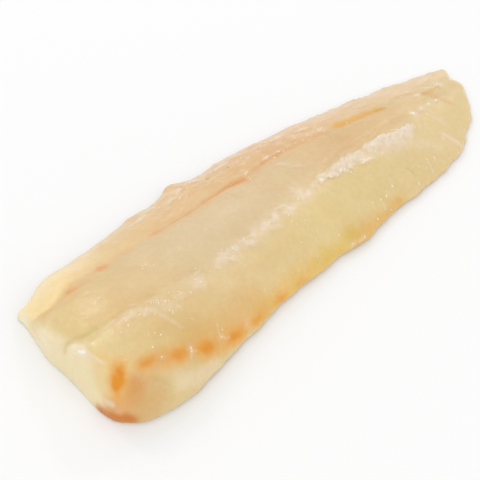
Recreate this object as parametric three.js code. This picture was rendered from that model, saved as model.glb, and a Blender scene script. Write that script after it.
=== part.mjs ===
// A skinless cod fillet, one solid piece of fish, lying flat with its boned face up.
// Millimetres. +X runs from the thick cut end to the tail, +Y to the fin strip along the far edge, +Z up.
// The origin is under the middle of the fillet, on the surface that it lies on.
import * as THREE from "three";

const { clamp, lerp, smoothstep } = THREE.MathUtils;

// Driving dimensions.
const LENGTH = 292; // cut end to tail tip
const FAR_WIDTH = 48; // from the X axis to the edge of the fin strip
const NEAR_WIDTH = 48.5; // from the X axis to the foot of the thick near corner
const THICKNESS = 25; // along the backbone line, just behind the cut end
const TAIL_THICKNESS = 2.2;

const CUT_X = -LENGTH / 2;
const TAIL_X = LENGTH / 2;

// Outline seen from above.
const FAR_CORNER = { reach: 26, drop: 6.5 }; // the far edge eases in towards the cut end
const NEAR_CORNER = { reach: 28, drop: 22.5 }; // quarter ellipse on the near side, rounder
const FAR_TAPER = { start: -10, drop: 35, power: 1.5 }; // the far edge closes in on the tail
const NEAR_WAIST = { from: -120, to: -38, drop: 7.5 }; // the near edge narrows behind the thick corner
const NEAR_TAIL = { start: 74, tip: 9, power: 1.67 }; // superellipse that rounds off the tail
const EDGE_WAVES = [
  { pitch: 41, height: 0.3, phase: 0.4 },
  { pitch: 23, height: 0.25, phase: 2.1 },
  { pitch: 13.3, height: 0.2, phase: 4.0 },
  { pitch: 7.1, height: 0.14, phase: 5.3 },
];
const NEAR_WAVE_OFFSET = 1.7; // the two long edges do not wave alike
// Loose flaps on the long edges; each is steeper towards the cut or towards the tail.
const FAR_FLAPS = [
  { x: -60, front: 3.5, back: 9, out: 2.2 },
  { x: -33, front: 10, back: 9, out: 4 },
];
const NEAR_FLAPS = [{ x: 11, front: 14, back: 8, out: 2.4 }];

// Lines along the upper face.
const MIDLINE = { y: -5, bow: 8.5, at: -52, half: 57 }; // where the backbone lay
const CORE_MARGIN = 0.3; // the midline keeps this share of the width from either edge
// The groove beside the fin strip: shares of the far edge, at the cut end and at the tail.
const GROOVE = { share: 0.5, tail: 0.4, from: 10, to: 100, depth: 1.3, half: 2.4 };
const MIDLINE_CREASE = { depth: 0.6, half: 2.6, cut: 1.4 }; // it is deeper by the last figure at the cut
const STRIP_CROWN = { at: 0.4, height: 0.9 };
const LOBE_CROWN = { at: 0.5, height: 0.5 };

// Heights across a section.
const THICKNESS_FALL = { power: 1.55, round: 0.8 };
const FAR_ARCH = 2.0; // power of the curve from the midline down to the edge
const NEAR_ARCH = 1.8;
// Thickness at the edges: a least value and a share of the thickness at the midline.
const FAR_RIM = { least: 1.2, share: 0.19 };
const NEAR_RIM = { least: 1.4, share: 0.24 };
const NEAR_WALL = { height: 15, from: -122, to: -60, lean: 10.5 }; // the tall side wall at the cut end
const RIM_INSET = 2.6;
const BASE_TUCK = 2; // how far the foot is tucked in under the bulging edge
const WAIST_SHARE = 0.42; // height of the widest point, as a share of the rim without the wall

// Cut end: askew, leaning back, with two lobes and a crease between them.
const CUT_FADE = 45; // how far behind the cut its shape fades out
const CUT_SLANT = { from: -35, span: 75, back: 9 }; // the far corner lies further back
const FAR_LOBE = { y: 13, half: 10, out: 2.6 };
const CUT_LEAN = { near: 7, far: 9, from: -12, to: 14 }; // over the full thickness
const CUT_CREASE = { y: 1, half: 5, depth: 1.3 };
const CUT_BULGE = 1;
const FAR_ROLL = { reach: 24, drop: 5, core: 0.4 }; // the far lobe rolls down to the cut, the midline less
const CREST = { radius: 3.5, draw: 0.7 }; // rounding between the upper face and the cut

// Flakes: the muscle blocks, bounded by thin sheets that show as shallow hooked furrows.
const FLAKE = { pitch: 12, depth: 0.42, sweep: 13, hook: 15, sharp: 4 };
const FLAKE_WANDER = { along: 2.4, pitch: 67, across: 1, slope: 0.2 }; // the furrows are not quite even
const WALL_FLAKES = 0.35; // share of the furrows that is left on the tall near wall
const SEPTUM = { from: 6, to: 92, ease: 17, half: 5, height: 0.9 }; // torn white sheet left along the midline
const TAIL_FOLD = { x: 116, y: 6, length: 13, half: 3, height: 1.3 };
const RELIEF_REACH = 14; // relief fades out this close to the cut and to the tail
const RELIEF_FLOOR = { none: 2, full: 6 }; // heights between which the relief sets in

// Mesh steps. A crowd above 1 draws the steps of a span to its first landmark, below 1 to its last.
const SPANS = [
  { steps: 2, crowd: 1 },
  { steps: 2, crowd: 1 },
  { steps: 4, crowd: 1 },
  { steps: 5, crowd: 0.75 },
  { steps: 6, crowd: 1.35 },
  { steps: 6, crowd: 0.75 },
  { steps: 7, crowd: 1.35 },
  { steps: 6, crowd: 1 },
  { steps: 4, crowd: 1 },
  { steps: 2, crowd: 1 },
];
const BASE_STEPS = 5;
const END_ZONE = { length: 14, steps: 9, crowd: 1.6 };
const BODY_STEPS = 90;
const CUT_RINGS = 5;
const TAIL_RINGS = 2;

const bump = (distance, half) => Math.exp(-((distance / half) ** 2));

// Quarter of an ellipse that rises from 0 at the cut end to 1 at the end of its reach.
function cornerRise(x, reach) {
  const left = clamp(1 - (x - CUT_X) / reach, 0, 1);
  return Math.sqrt(1 - left * left);
}

function edgeWave(x, offset) {
  const wave = EDGE_WAVES.reduce(
    (sum, w) => sum + w.height * Math.sin((2 * Math.PI * x) / w.pitch + w.phase + offset),
    0,
  );
  return wave * smoothstep(x, CUT_X, CUT_X + RELIEF_REACH);
}

function flaps(list, x) {
  return list.reduce((sum, f) => sum + f.out * bump(x - f.x, x < f.x ? f.front : f.back), 0);
}

function farEdge(x) {
  const along = clamp((x - FAR_TAPER.start) / (TAIL_X - FAR_TAPER.start), 0, 1);
  const corner = FAR_CORNER.drop * (1 - smoothstep(x, CUT_X, CUT_X + FAR_CORNER.reach));
  const taper = FAR_TAPER.drop * along ** FAR_TAPER.power;
  return FAR_WIDTH - corner - taper + flaps(FAR_FLAPS, x) + edgeWave(x, 0);
}

function nearEdge(x) {
  const corner = NEAR_CORNER.drop * (1 - cornerRise(x, NEAR_CORNER.reach));
  const waist = NEAR_WAIST.drop * smoothstep(x, NEAR_WAIST.from, NEAR_WAIST.to);
  const body = -NEAR_WIDTH + corner + waist - flaps(NEAR_FLAPS, x);
  const q = clamp((x - NEAR_TAIL.start) / (TAIL_X - NEAR_TAIL.start), 0, 1);
  const round = (1 - q ** NEAR_TAIL.power) ** (1 / NEAR_TAIL.power);
  return lerp(NEAR_TAIL.tip, body, round) + edgeWave(x, NEAR_WAVE_OFFSET);
}

// The line of the backbone, kept inside the outline where the tail narrows.
function midline(x) {
  const [far, near] = [farEdge(x), nearEdge(x)];
  const margin = CORE_MARGIN * (far - near);
  const bowed = MIDLINE.y - MIDLINE.bow * bump(x - MIDLINE.at, MIDLINE.half);
  return clamp(bowed, near + margin, far - margin);
}

function grooveLine(x) {
  const share = lerp(GROOVE.share, GROOVE.tail, smoothstep(x, GROOVE.from, GROOVE.to));
  return Math.max(share * farEdge(x), lerp(midline(x), farEdge(x), share / 2));
}

function thickness(x) {
  const s = (x - CUT_X) / LENGTH;
  const fall = (1 - s ** THICKNESS_FALL.power) ** THICKNESS_FALL.round;
  return TAIL_THICKNESS + (THICKNESS - TAIL_THICKNESS) * fall;
}

// Share of the tall near wall at x: full behind the near corner, gone where the edge turns thin.
const wallShare = (x) => 1 - smoothstep(x, NEAR_WALL.from, NEAR_WALL.to);

// The landmarks of one section, from the far foot over the upper face to the near foot.
function landmarks(x) {
  const [far, near, core, groove] = [farEdge(x), nearEdge(x), midline(x), grooveLine(x)];
  const top = thickness(x);
  const narrow = clamp((far - near) / (FAR_WIDTH + NEAR_WIDTH), 0, 1);
  const farRim = FAR_RIM.least + FAR_RIM.share * top;
  const nearRim = NEAR_RIM.least + NEAR_RIM.share * top;
  const nearTop = nearRim + NEAR_WALL.height * wallShare(x);
  const lean = NEAR_WALL.lean * wallShare(x) * cornerRise(x, NEAR_CORNER.reach);
  const inset = RIM_INSET * narrow;
  const tuck = BASE_TUCK * narrow;
  const roll = FAR_ROLL.drop * clamp(1 - (x - CUT_X) / FAR_ROLL.reach, 0, 1) ** 2;
  const archFar = (y) => farRim + (top - farRim) * (1 - ((y - core) / (far - core)) ** FAR_ARCH);
  const archNear = (y) => nearTop + (top - nearTop) * (1 - ((core - y) / (core - near)) ** NEAR_ARCH);
  const strip = lerp(groove, far, STRIP_CROWN.at);
  const farLobe = lerp(core, groove, LOBE_CROWN.at);
  const shoulder = near + inset + lean;
  const nearLobe = lerp(core, shoulder, LOBE_CROWN.at);
  return [
    [far - tuck, 0],
    [far, WAIST_SHARE * farRim],
    [far - inset, farRim],
    [strip, archFar(strip) + STRIP_CROWN.height * narrow - roll],
    [groove, archFar(groove) - roll],
    [farLobe, archFar(farLobe) + LOBE_CROWN.height * narrow - roll],
    [core, top - FAR_ROLL.core * roll],
    [nearLobe, archNear(nearLobe) + LOBE_CROWN.height * narrow],
    [shoulder, nearTop],
    [near, WAIST_SHARE * nearRim],
    [near + tuck, 0],
  ].map(([y, z]) => new THREE.Vector3(x, y, z));
}

// Furrows between the flakes: they sweep tailward from the midline and hook back at the edge.
function flakeRelief(x, y) {
  const mid = midline(x);
  const share = clamp((y - mid) / ((y > mid ? farEdge(x) : nearEdge(x)) - mid), 0, 1);
  const drift = (2 * Math.PI * x) / FLAKE_WANDER.pitch;
  const along = FLAKE_WANDER.along * Math.sin(drift);
  const across = FLAKE_WANDER.across * Math.sin(2 * drift + FLAKE_WANDER.slope * y);
  const line = x - FLAKE.sweep * Math.sqrt(share) + FLAKE.hook * share ** 3 + along + across;
  const ridge = (1 + Math.cos((2 * Math.PI * line) / FLAKE.pitch)) / 2;
  const kept = y < mid ? 1 - (1 - WALL_FLAKES) * wallShare(x) : 1;
  return -FLAKE.depth * kept * ridge ** FLAKE.sharp;
}

function septumRelief(x, y) {
  const rise = smoothstep(x, SEPTUM.from, SEPTUM.from + SEPTUM.ease);
  const fall = 1 - smoothstep(x, SEPTUM.to - SEPTUM.ease, SEPTUM.to);
  return SEPTUM.height * rise * fall * bump(y - midline(x) + SEPTUM.half / 2, SEPTUM.half);
}

function foldRelief(x, y) {
  const along = bump(x - TAIL_FOLD.x, TAIL_FOLD.length);
  return TAIL_FOLD.height * along * bump(y - TAIL_FOLD.y, TAIL_FOLD.half);
}

function creaseRelief(x, y) {
  const atCut = 1 - smoothstep(x, CUT_X, CUT_X + FAR_ROLL.reach);
  const deep = MIDLINE_CREASE.depth + MIDLINE_CREASE.cut * atCut;
  const groove = GROOVE.depth * bump(y - grooveLine(x), GROOVE.half);
  return -groove - deep * bump(y - midline(x), MIDLINE_CREASE.half);
}

// One closed section: the upper curve through the landmarks, then the flat base back to the far side.
function section(x) {
  const marks = landmarks(x);
  const curve = new THREE.CatmullRomCurve3(marks, false, "centripetal");
  const points = [];
  SPANS.forEach(({ steps, crowd }, span) => {
    for (let i = 0; i < steps; i++) {
      points.push(curve.getPoint((span + (i / steps) ** crowd) / SPANS.length));
    }
  });
  const fromCut = smoothstep(x, CUT_X, CUT_X + RELIEF_REACH);
  const fromTail = 1 - smoothstep(x, TAIL_X - RELIEF_REACH, TAIL_X);
  for (const p of points) {
    const lifted = smoothstep(p.z, RELIEF_FLOOR.none, RELIEF_FLOOR.full) * fromTail;
    const flesh = flakeRelief(x, p.y) + septumRelief(x, p.y) + foldRelief(x, p.y);
    p.z = Math.max(p.z + lifted * (fromCut * flesh + creaseRelief(x, p.y)), 0);
  }
  const [farFoot, nearFoot] = [marks[0], marks[marks.length - 1]];
  for (let i = 0; i < BASE_STEPS; i++) points.push(nearFoot.clone().lerp(farFoot, i / BASE_STEPS));
  return points;
}

// The middle of a section, which its ring closes in on at either end of the fillet.
function coreOf(ring) {
  const box = new THREE.Box3().setFromPoints(ring);
  return box.getCenter(new THREE.Vector3());
}

function shrunk(ring, share) {
  const core = coreOf(ring);
  return ring.map((p) => p.clone().lerp(core, share));
}

// Stations along the length, close together at the cut and at the tail.
function stations() {
  const { length, steps, crowd } = END_ZONE;
  const xs = [];
  for (let i = 0; i < steps; i++) xs.push(CUT_X + length * (i / steps) ** crowd);
  for (let i = 0; i < BODY_STEPS; i++) xs.push(CUT_X + length + ((LENGTH - 2 * length) * i) / BODY_STEPS);
  for (let i = steps; i >= 1; i--) xs.push(TAIL_X - length * (i / steps) ** crowd);
  return xs;
}

// Rounds the crest: a section near the cut is drawn in towards its core, but keeps its foot on the base.
function roundCrest(ring, x) {
  const left = clamp(1 - (x - CUT_X) / CREST.radius, 0, 1);
  const inset = CREST.draw * CREST.radius * (1 - Math.sqrt(1 - left * left));
  const core = coreOf(ring);
  return ring.map((p) => {
    const out = new THREE.Vector3(0, p.y - core.y, p.z - core.z).normalize();
    const moved = p.clone().addScaledVector(out, -inset);
    if (p.z === 0) moved.z = 0;
    return moved;
  });
}

// How far the cut stands back from a square, upright plane at a point of its face.
function cutSetback(y, z) {
  const askew = CUT_SLANT.back * clamp((y - CUT_SLANT.from) / CUT_SLANT.span, 0, 1);
  const height = z / THICKNESS;
  const lean = lerp(CUT_LEAN.near, CUT_LEAN.far, smoothstep(y, CUT_LEAN.from, CUT_LEAN.to)) * height;
  const crease = CUT_CREASE.depth * bump(y - CUT_CREASE.y, CUT_CREASE.half) * height;
  return askew + lean + crease - FAR_LOBE.out * bump(y - FAR_LOBE.y, FAR_LOBE.half);
}

function shapeCut(p) {
  const fade = clamp(1 - (p.x - CUT_X) / CUT_FADE, 0, 1);
  p.x += cutSetback(p.y, p.z) * fade;
}

function rings() {
  const body = stations().map((x) => roundCrest(section(x), x));
  const cut = [];
  for (let i = CUT_RINGS; i >= 1; i--) {
    const share = i / (CUT_RINGS + 1);
    const ring = shrunk(body[0], share);
    ring.forEach((p) => (p.x -= CUT_BULGE * share * (2 - share)));
    cut.push(ring);
  }
  const tail = [];
  const last = body[body.length - 1];
  for (let i = 1; i <= TAIL_RINGS; i++) tail.push(shrunk(last, i / (TAIL_RINGS + 1)));
  const all = [...cut, ...body, ...tail];
  all.flat().forEach(shapeCut);
  return all;
}

// Splits a four-sided patch along its more level diagonal, so that furrows stay unbroken.
function splitPatch(points, a, b, c, d) {
  const level = Math.abs(points[a].z - points[d].z) < Math.abs(points[b].z - points[c].z);
  return level ? [a, b, d, a, d, c] : [a, b, c, b, d, c];
}

// Skins the rings into one closed surface, with a fan over either end.
function skin(loops) {
  const size = loops[0].length;
  const points = loops.flat();
  const index = [];
  for (let r = 0; r + 1 < loops.length; r++) {
    for (let i = 0; i < size; i++) {
      const [a, b] = [r * size + i, r * size + ((i + 1) % size)];
      index.push(...splitPatch(points, a, b, a + size, b + size));
    }
  }
  const close = (loop, start, flip) => {
    const centre = points.push(coreOf(loop)) - 1;
    for (let i = 0; i < size; i++) {
      const [a, b] = [start + i, start + ((i + 1) % size)];
      index.push(...(flip ? [centre, a, b] : [centre, b, a]));
    }
  };
  close(loops[0], 0, false);
  close(loops[loops.length - 1], (loops.length - 1) * size, true);
  const geometry = new THREE.BufferGeometry().setFromPoints(points);
  geometry.setIndex(index);
  return geometry;
}

// Puts the middle of the outline over the origin.
function centred(geometry) {
  geometry.computeBoundingBox();
  const middle = geometry.boundingBox.getCenter(new THREE.Vector3());
  return geometry.translate(-middle.x, -middle.y, 0);
}

const flesh = new THREE.MeshStandardMaterial({ color: 0xe5cf9f, roughness: 0.35, metalness: 0 });
const fillet = new THREE.Mesh(centred(skin(rings())), flesh);
fillet.geometry.computeVertexNormals();
fillet.name = "cod_fillet";

const part = new THREE.Group();
part.add(fillet);

export default part;
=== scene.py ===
"""A raw skinless cod fillet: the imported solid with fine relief, wet flesh and shreds of white tissue."""

import math

import bmesh
import bpy
import numpy as np
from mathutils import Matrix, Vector
from mathutils.bvhtree import BVHTree

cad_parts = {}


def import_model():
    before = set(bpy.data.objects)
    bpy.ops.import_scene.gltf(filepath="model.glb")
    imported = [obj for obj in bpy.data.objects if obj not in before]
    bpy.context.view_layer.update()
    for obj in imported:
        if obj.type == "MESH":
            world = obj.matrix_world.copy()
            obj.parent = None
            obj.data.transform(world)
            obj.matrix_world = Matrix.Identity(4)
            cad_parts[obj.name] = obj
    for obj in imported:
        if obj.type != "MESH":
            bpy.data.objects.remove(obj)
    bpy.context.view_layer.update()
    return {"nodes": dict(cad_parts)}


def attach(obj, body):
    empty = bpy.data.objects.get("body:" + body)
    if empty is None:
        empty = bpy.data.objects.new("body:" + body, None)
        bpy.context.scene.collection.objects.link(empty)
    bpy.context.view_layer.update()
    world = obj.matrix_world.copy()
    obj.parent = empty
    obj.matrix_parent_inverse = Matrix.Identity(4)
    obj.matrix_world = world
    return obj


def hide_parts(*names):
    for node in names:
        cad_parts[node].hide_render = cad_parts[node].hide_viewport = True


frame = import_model()

MM = 0.001
NODE = "cod_fillet"
SUBDIVISIONS = 2
# Rounds of evening out between neighbouring points: upper face, cut end, crease, directions for the masks.
CALM_ROUNDS = 60
END_ROUNDS = 14
CREASE_ROUNDS = 40
MASK_ROUNDS = 25
EASE_MOST = 0.9  # most that a round moves a point of the cut end or the crease towards its neighbours
EASE_HEIGHTS = (0.5, 4)  # over which that sets in, so that the underside stays flat
CREASE_EASE = 5

# The solid's own lines, in millimetres. Its frame lies this far off the row frame.
SHIFT = np.array([0.88, 1.78])
CUT_X = -146
TAIL_X = 146
MIDLINE = {"y": -5, "bow": 8.5, "at": -52, "half": 57, "margin": 0.3}
GROOVE = {"share": 0.5, "tail": 0.4, "from": 10, "to": 100}
EDGE_BIN = 2
SEPTA_TURN = math.radians(44)  # how far the white sheets lean from the X axis, seen from above
FLAKE_PITCH = 12
FLAKE_STEP = FLAKE_PITCH * math.sin(SEPTA_TURN)  # from flake to flake, across the white sheets

# Stretches along X over which something sets in or fades out, in millimetres.
SPANS = {
    "body": (-132, -116),
    "body_end": (122, 138),
    "blunt_end": (-122, -110),
    "strip": (-130, -105),
    "rough": (-72, -48),
    "rough_end": (48, 66),
    "cut_end": (-135, -118),
    "wall_end": (-92, -60),
    "facet_end": (-136, -72),
    "facet_soft": (-130, -108),
    "tail_rim": (126, 136),
    "torn_rim": (30, 80),
}
# Distances past a line over which something sets in or fades out, in millimetres.
EDGES = {"strip": (-3, 3), "near": (-12, 5), "cut": (-3, 2), "facet": (-1, 3)}
# Shares of the way from the midline to the edge over which something sets in or fades out.
SHARES = {"calm_end": (0.72, 0.92), "nicks": (0.75, 0.97), "dashes": (0.5, 0.85), "torn_rim": (0.86, 0.98)}
# Parts of a normal, along the axis that a face looks to, over which that face sets in.
FACING = {
    "calm": (0.6, 0.85),
    "upper": (0.15, 0.6),
    "under": (0.6, 0.9),
    "cut": (0.3, 0.75),
    "wall": (0.35, 0.8),
}
# Noise in the shapes and marks: seed and size of the waves in millimetres, for each axis where they differ.
WAVES = {
    "wobble": (11, 2.4),
    "wobble_wide": (12, 6),
    "wander": (20, 15),
    "swell": (13, 23),
    "ripple": (16, 9),
    "dimple": (19, 3.4),
    "flakes": (18, 17),
    "fibre": (14, (7, 1.3, 3)),
    "streaks": (17, (1.3, 6, 6)),
    "crumple": (13, 2.1),
    "rough": (19, 5.5),
    "rim": (16, 5),
    "lumps": (16, (2.3, 1, 1)),
    "strands": (15, (1, 14, 1)),
    "ragged": (17, 2.6),
    "torn": (13, 3.2),
    "specks": (18, 1.7),
}
# Heights of the relief, in millimetres.
HEIGHTS = {
    "swell": 0.22,
    "ripple": 0.13,
    "dimple": 0.07,
    "flakes": 0.15,
    "fibre": 0.04,
    "wobble": 0.05,
    "sheet": 0.4,
    "streaks": 0.35,
    "crumple": 0.45,
    "sheet_edge": 0.35,
    "patches": 0.2,
    "seams": -0.2,
    "rough": 0.25,
    "rim": 0.5,
    "rim_wobble": 0.35,
}
# Furrows along the fillet: half width, height, how far the height varies. The solid's groove is filled,
# and cut again where it shows.
GROOVE_FILL = (3, 0.6, 0)
GROOVE_CUT = (1.8, -0.4, -0.25)
MID_CUT = (2.4, -0.15, -0.15)
# Steps of the flakes: how far they wander, where in a flake they drop, their mean level, where they show.
FLAKES = {"wander": 0.3, "drop": (0.84, 1), "level": 0.42, "show": (-0.3, 0.5)}
MID_WANDER = 3  # of the midline, in millimetres
GROOVE_WANDER = (1.2, 0.5)  # of the groove, in long and in short waves
# How far noise wears the edges of the marks.
RAGGED = {"stroke": 0.35, "patch": 0.45, "spot": 0.22, "zone": 0.2, "haze": 0.6}
# How far a line fades past its ends and inside them, as shares of its length.
STROKE_ENDS = (0.12, 0.15)
RIDGE_ENDS = (0.1, 0.12)

# Marks in the flesh, in millimetres in the row frame. Those drawn in plan count from this place in it.
PLAN_ORIGIN = np.array([-0.6, -2.1])
# Orange spots along the near edge: centre, direction of the long axis, half length, half width, strength.
SPOTS = [
    ((-137.3, -32.3, 20.5), (-0.6, -0.2, -0.8), 6.2, 2.7, 1.3),
    ((-123, -36, 22.5), (1, -0.2, -0.2), 5.5, 2.6, 0.68),
    ((-111.5, -40, 19.5), (1, -0.2, -0.35), 6, 3, 0.8),
    ((-97, -42.5, 13.5), (1, -0.1, -0.4), 5.5, 3, 0.93),
    ((-81, -43.5, 8), (1, 0.1, -0.2), 6, 2.8, 0.92),
    ((-66.5, -43, 6), (1, 0.1, 0), 5.5, 2.5, 0.65),
    ((-49, -41.5, 5), (1, 0.25, 0), 5.5, 3, 0.55),
    ((-34.5, -41.5, 4.5), (1, 0.2, 0), 5.5, 2.5, 0.35),
]
# The bottom of the groove, its warm tint and the orange marks along it: line, half width, strength.
GROOVE_LINE = [
    (-136, 26.5), (-134, 24), (-130, 21.5), (-126, 20.5), (-118, 21.5), (-110, 22),
    (-100, 23), (-75, 23), (-36, 21.5), (-20, 22), (-9.5, 20.5), (5, 21.5), (17, 21),
    (44, 17), (69, 12.5), (90, 9),
]
GROOVE_TINTS = [
    (GROOVE_LINE[:5], 2.2, 0.6),
    ([(-134.5, 23.5), (-130.5, 19.5), (-124.5, 18.5), (-117, 19.5)], 3.6, 0.5),
    (GROOVE_LINE[3:8], 4, 0.5),
    (GROOVE_LINE[7:14], 5.5, 0.75),
]
GROOVE_MARKS = [
    ([(-121, 22), (-115, 21.5)], 2.2, 0.7),
    ([(-102, 23.5), (-97.5, 22)], 2, 0.95),
    ([(-88, 23), (-80.5, 22)], 1.2, 0.3),
    ([(-71.5, 24), (-65.5, 22.5)], 1.4, 0.5),
    ([(-68, 22.8), (-50, 21.8), (-36, 21.6)], 1, 0.35),
    ([(-39, 22.5), (-28, 21.5), (-21.5, 22), (-9, 19.5)], 1.3, 0.75),
    ([(-19, 21.5), (-9.5, 19.5)], 2.4, 1),
    ([(-9, 20.5), (5, 21.5)], 0.7, 0.4),
    ([(3.5, 22), (9, 23), (21.5, 21.5)], 1.7, 0.7),
    ([(21, 21), (44, 17)], 0.8, 0.4),
    ([(38, 18.5), (47, 16.5)], 3.2, 0.4),
    ([(55, 15.5), (69, 12.5), (81, 10)], 1, 0.5),
]
# Lower edge of the pale facet on the strip, as x and y, and upper edge of the cut end, as y and x.
FACET_EDGE = [
    (-136.5, 27.5), (-134, 24.5), (-130, 22.5), (-125, 22.5), (-116, 25), (-106, 27),
    (-95, 28), (-60, 28),
]
FACET_SOFT = 4.5  # how much softer that edge is away from the cut end
END_EDGE = [
    (-27, -135.5), (-20, -136.5), (-6, -136), (-1, -135), (4, -136), (10, -137),
    (18, -137), (28, -137),
]
# The pale corner at the far end of the cut, and half widths of it and of the lateral line underneath.
TIP = (-138, 33.5, 3)
TIP_HALF = 5.5
LATERAL_HALF = 5
# White sheets between the flakes that show as lines, and a few painted highlights drawn the same way: line
# in plan or in space, half width, strength.
SEPTA_AND_GLINTS = [
    # Painted highlight: the near lobe's lip beside the crease, catching the light.
    ([(-134, -5), (-130.5, -6.4), (-126, -7.4)], 0.8, 0.5),
    ([(-126, -9), (-118.5, -8), (-114, -8.2), (-110.5, -9.5)], 1.1, 0.45),
    ([(-111.5, -9), (-105, -14), (-102, -22), (-100.5, -30)], 1.7, 0.5),
    ([(-103.5, -38), (-104, -39.5), (-106.5, -40.5)], 0.8, 0.55),
    ([(-105.5, -37.5), (-103.5, -38.5), (-101, -40)], 0.8, 0.5),
    ([(-78.5, -12), (-75.5, -15.5), (-74, -19)], 1.3, 0.5),
    ([(-109.5, -6), (-106, -8)], 0.9, 0.5),
    ([(-103.5, -9.5), (-100, -11), (-98, -14), (-95, -16)], 0.9, 0.5),
    ([(-95, -21), (-93.5, -22.5)], 1, 0.6),
    ([(-100, -28.5), (-101, -30.5)], 0.8, 0.45),
    ([(-94.5, -28), (-92.5, -30.5)], 0.9, 0.4),
    ([(-88.5, -9), (-84, -11.5)], 0.9, 0.4),
    ([(-76, -29.5), (-73, -29.5)], 0.9, 0.35),
    ([(-57, -23.5), (-53.5, -23)], 0.8, 0.45),
    ([(-45.5, 12), (-43.5, 9.5)], 0.9, 0.35),
    ([(-37.5, 2.5), (-35.5, 0)], 1, 0.35),
    ([(-16.5, -2), (-16.5, -6.5), (-15.5, -8.5)], 0.9, 0.4),
    ([(-3, -1), (-1.5, -6)], 0.9, 0.4),
    ([(-59.5, -14), (-57, -18)], 1, 0.8),
    ([(-51, -12.5), (-57, -13), (-60.5, -10.5)], 0.8, 0.8),
    ([(-44.5, -13), (-44.5, -16), (-43.5, -18)], 0.8, 0.7),
    ([(-38, -13), (-44, -12.5), (-48.5, -12.5)], 0.8, 0.8),
    ([(-31.5, -11.5), (-28.5, -16), (-27, -16.5)], 0.7, 0.7),
    ([(-21, -9.5), (-24, -12.5), (-29, -12), (-32, -10.5)], 0.9, 1),
    ([(-13, -13.5), (-13.5, -9), (-19.5, -8.5)], 0.8, 0.8),
    ([(-1, -7.5), (-0.5, -5), (-2.5, -2.5)], 0.8, 0.5),
    ([(7, 16), (10.5, 14), (10.5, 9.5)], 0.8, 0.5),
    ([(43.5, -32), (44, -27.5), (45, -25.5)], 0.9, 0.4),
    ([(-85, -35), (-86, -37), (-87.2, -38.5), (-86.8, -40)], 0.6, 0.6),
    ([(-86.8, -40), (-84.5, -41.2), (-82, -41)], 0.7, 0.5),
    ([(26.5, -32), (23.5, -35.5)], 0.8, 0.5),
    ([(31, -35), (29, -38.5)], 0.8, 0.6),
    ([(15.5, -31), (14.5, -34)], 0.8, 0.5),
    ([(41.5, -26.5), (39.5, -28.5)], 1.3, 0.3),
    ([(42.5, -30.5), (41, -33)], 1.2, 0.6),
    ([(39, -31), (34, -34.5)], 1.5, 0.35),
    ([(50, -31.5), (46.5, -33.5)], 1.6, 0.4),
    ([(53, -34), (47.5, -37)], 1.4, 0.4),
    ([(57, -37.5), (55.5, -39)], 0.7, 0.9),
    ([(71, -31), (70, -34), (68, -39)], 0.9, 0.6),
    ([(76, -32), (74.5, -35)], 1, 0.6),
    ([(92.5, -25.5), (94, -29.5), (96, -36)], 1.5, 0.85),
    ([(92, -26), (89.5, -28.5)], 1.1, 0.7),
    ([(99, -8.5), (98.5, -12), (100.5, -18.5), (99.5, -22.5)], 1.8, 0.5),
    # Painted highlights: a glint along the crest of the near lobe at the cut end, and a brighter one on its
    # lip.
    ([(-138.5, -6, 17), (-138, -12.5, 21.5), (-138, -19, 23.5), (-137, -26, 24)], 1, 0.8),
    ([(-138.6, -8, 18.5), (-138.2, -11, 20.8), (-138, -14, 22.2)], 1.4, 1.3),
]
# Painted shade: dark lines along the furrows between flakes, in the groove and beside white tissue: line in
# plan, half width, strength.
SHADE_LINES = [
    ([(57, -28.5), (58, -32), (57, -35.5)], 0.8, 0.7),
    (
        [(21, -3.5), (30, -2.5), (38.5, -0.5), (45.5, -1.5), (53.5, -1.5), (73.5, -2.5), (89, -4)],
        1.8, 0.6,
    ),
    ([(-102, -7), (-98, -8), (-95, -10.5)], 1.8, 0.45),
    ([(-110.5, -7), (-107, -9)], 0.8, 0.5),
    ([(-118.5, -7), (-116.5, -8), (-113, -7.5)], 1, 0.6),
    ([(-77, -9.5), (-73.5, -12.5), (-70.5, -15.5)], 1.2, 0.4),
    ([(-25, 19.5), (-25, 13.5), (-24, 10.5)], 1, 0.5),
    ([(-55, 22.5), (-52.5, 17), (-49.5, 8.5)], 0.9, 0.35),
    ([(-32, 3), (-30, 0.5)], 0.9, 0.4),
    ([(-31, 21.8), (-21.5, 22), (-14, 20.5), (-9, 19.5)], 1, 0.7),
    ([(-58, 22.2), (-50, 21.8), (-42, 21.6)], 0.8, 0.6),
    ([(-54.5, -22), (-50.5, -20.5)], 0.8, 0.45),
]
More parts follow.
